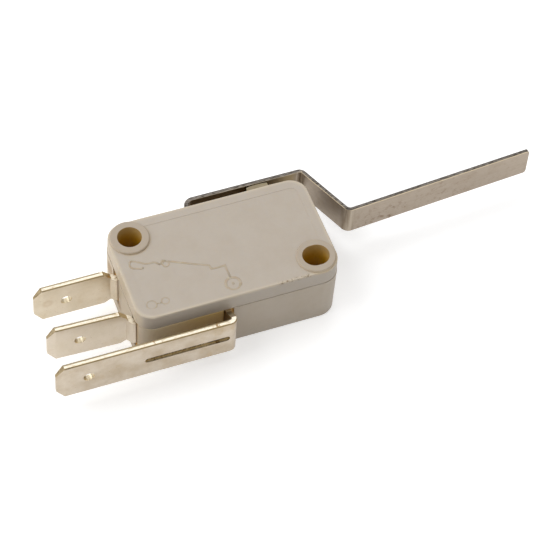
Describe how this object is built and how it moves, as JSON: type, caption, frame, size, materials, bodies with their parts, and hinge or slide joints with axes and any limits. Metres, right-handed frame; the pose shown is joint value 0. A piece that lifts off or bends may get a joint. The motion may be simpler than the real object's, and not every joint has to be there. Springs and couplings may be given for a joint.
{
  "type": "micro switch",
  "caption": "Snap-action micro switch with a long cranked strip lever, a side casing with mounting bores and flat blade terminals.",
  "frame": {"origin": "on the axis of the round fixing hole, in the plane of the base's large flat face", "axes": "+X along the casing towards the lever's tip, +Y towards the plunger's side, +Z through the thickness from base to cover, along the fixing holes"},
  "size_m": [0.0723, 0.0217, 0.0103],
  "materials": {
    "casing_plastic": "moulded thermoset plastic, beige, faintly mottled",
    "plunger_plastic": "moulded plastic, ivory",
    "nickel_steel": "nickel-plated spring steel strip, lightly stained",
    "tinned_brass": "tinned brass, satin, lightly tarnished",
    "silver_contact": "silver alloy, satin",
    "copper_alloy": "beryllium copper, rolled",
    "spring_steel": "drawn spring wire"
  },
  "bodies": {
    "casing": {"base_casing": "casing_plastic", "cover": "casing_plastic", "nc_terminal": "tinned_brass", "no_terminal": "tinned_brass", "com_terminal": "tinned_brass", "nc_fixed_contact": "silver_contact", "no_fixed_contact": "silver_contact"},
    "lever": {"lever": "nickel_steel"},
    "plunger": {"plunger": "plunger_plastic"},
    "rocker": {"rocker": "nickel_steel"},
    "contact_arm": {"contact_arm": "copper_alloy", "moving_contact": "silver_contact", "snap_spring": "spring_steel"}
  },
  "joints": [
    {"name": "lever_pivot", "type": "hinge", "parent": "casing", "child": "lever", "pos_m": [0.0102, 0.0013, 0.0051], "axis": [0, 0, -1], "range_deg": [0, 7], "stiffness_Nm_per_rad": 0.06, "springref_deg": -4.58},
    {"name": "plunger_slide", "type": "slide", "parent": "casing", "child": "plunger", "axis": [0, -1, 0], "range_m": [0, 0.0012]},
    {"name": "rocker_pivot", "type": "hinge", "parent": "casing", "child": "rocker", "pos_m": [0.023, -0.0033, 0.0051], "axis": [0, 0, 1], "range_deg": [0, 21.3]},
    {"name": "contact_arm_pivot", "type": "hinge", "parent": "casing", "child": "contact_arm", "pos_m": [0.015, -0.0056, 0.0051], "axis": [0, 0, 1], "range_deg": [0, 4], "deforming": ["snap_spring"]}
  ],
  "couplings": [
    {"joint": "plunger_slide", "follows": "lever_pivot", "m_per_rad": 0.00971},
    {"joint": "rocker_pivot", "follows": "lever_pivot", "ratio": 3.02},
    {"joint": "contact_arm_pivot", "follows": "lever_pivot", "ratio": 0.55}
  ]
}
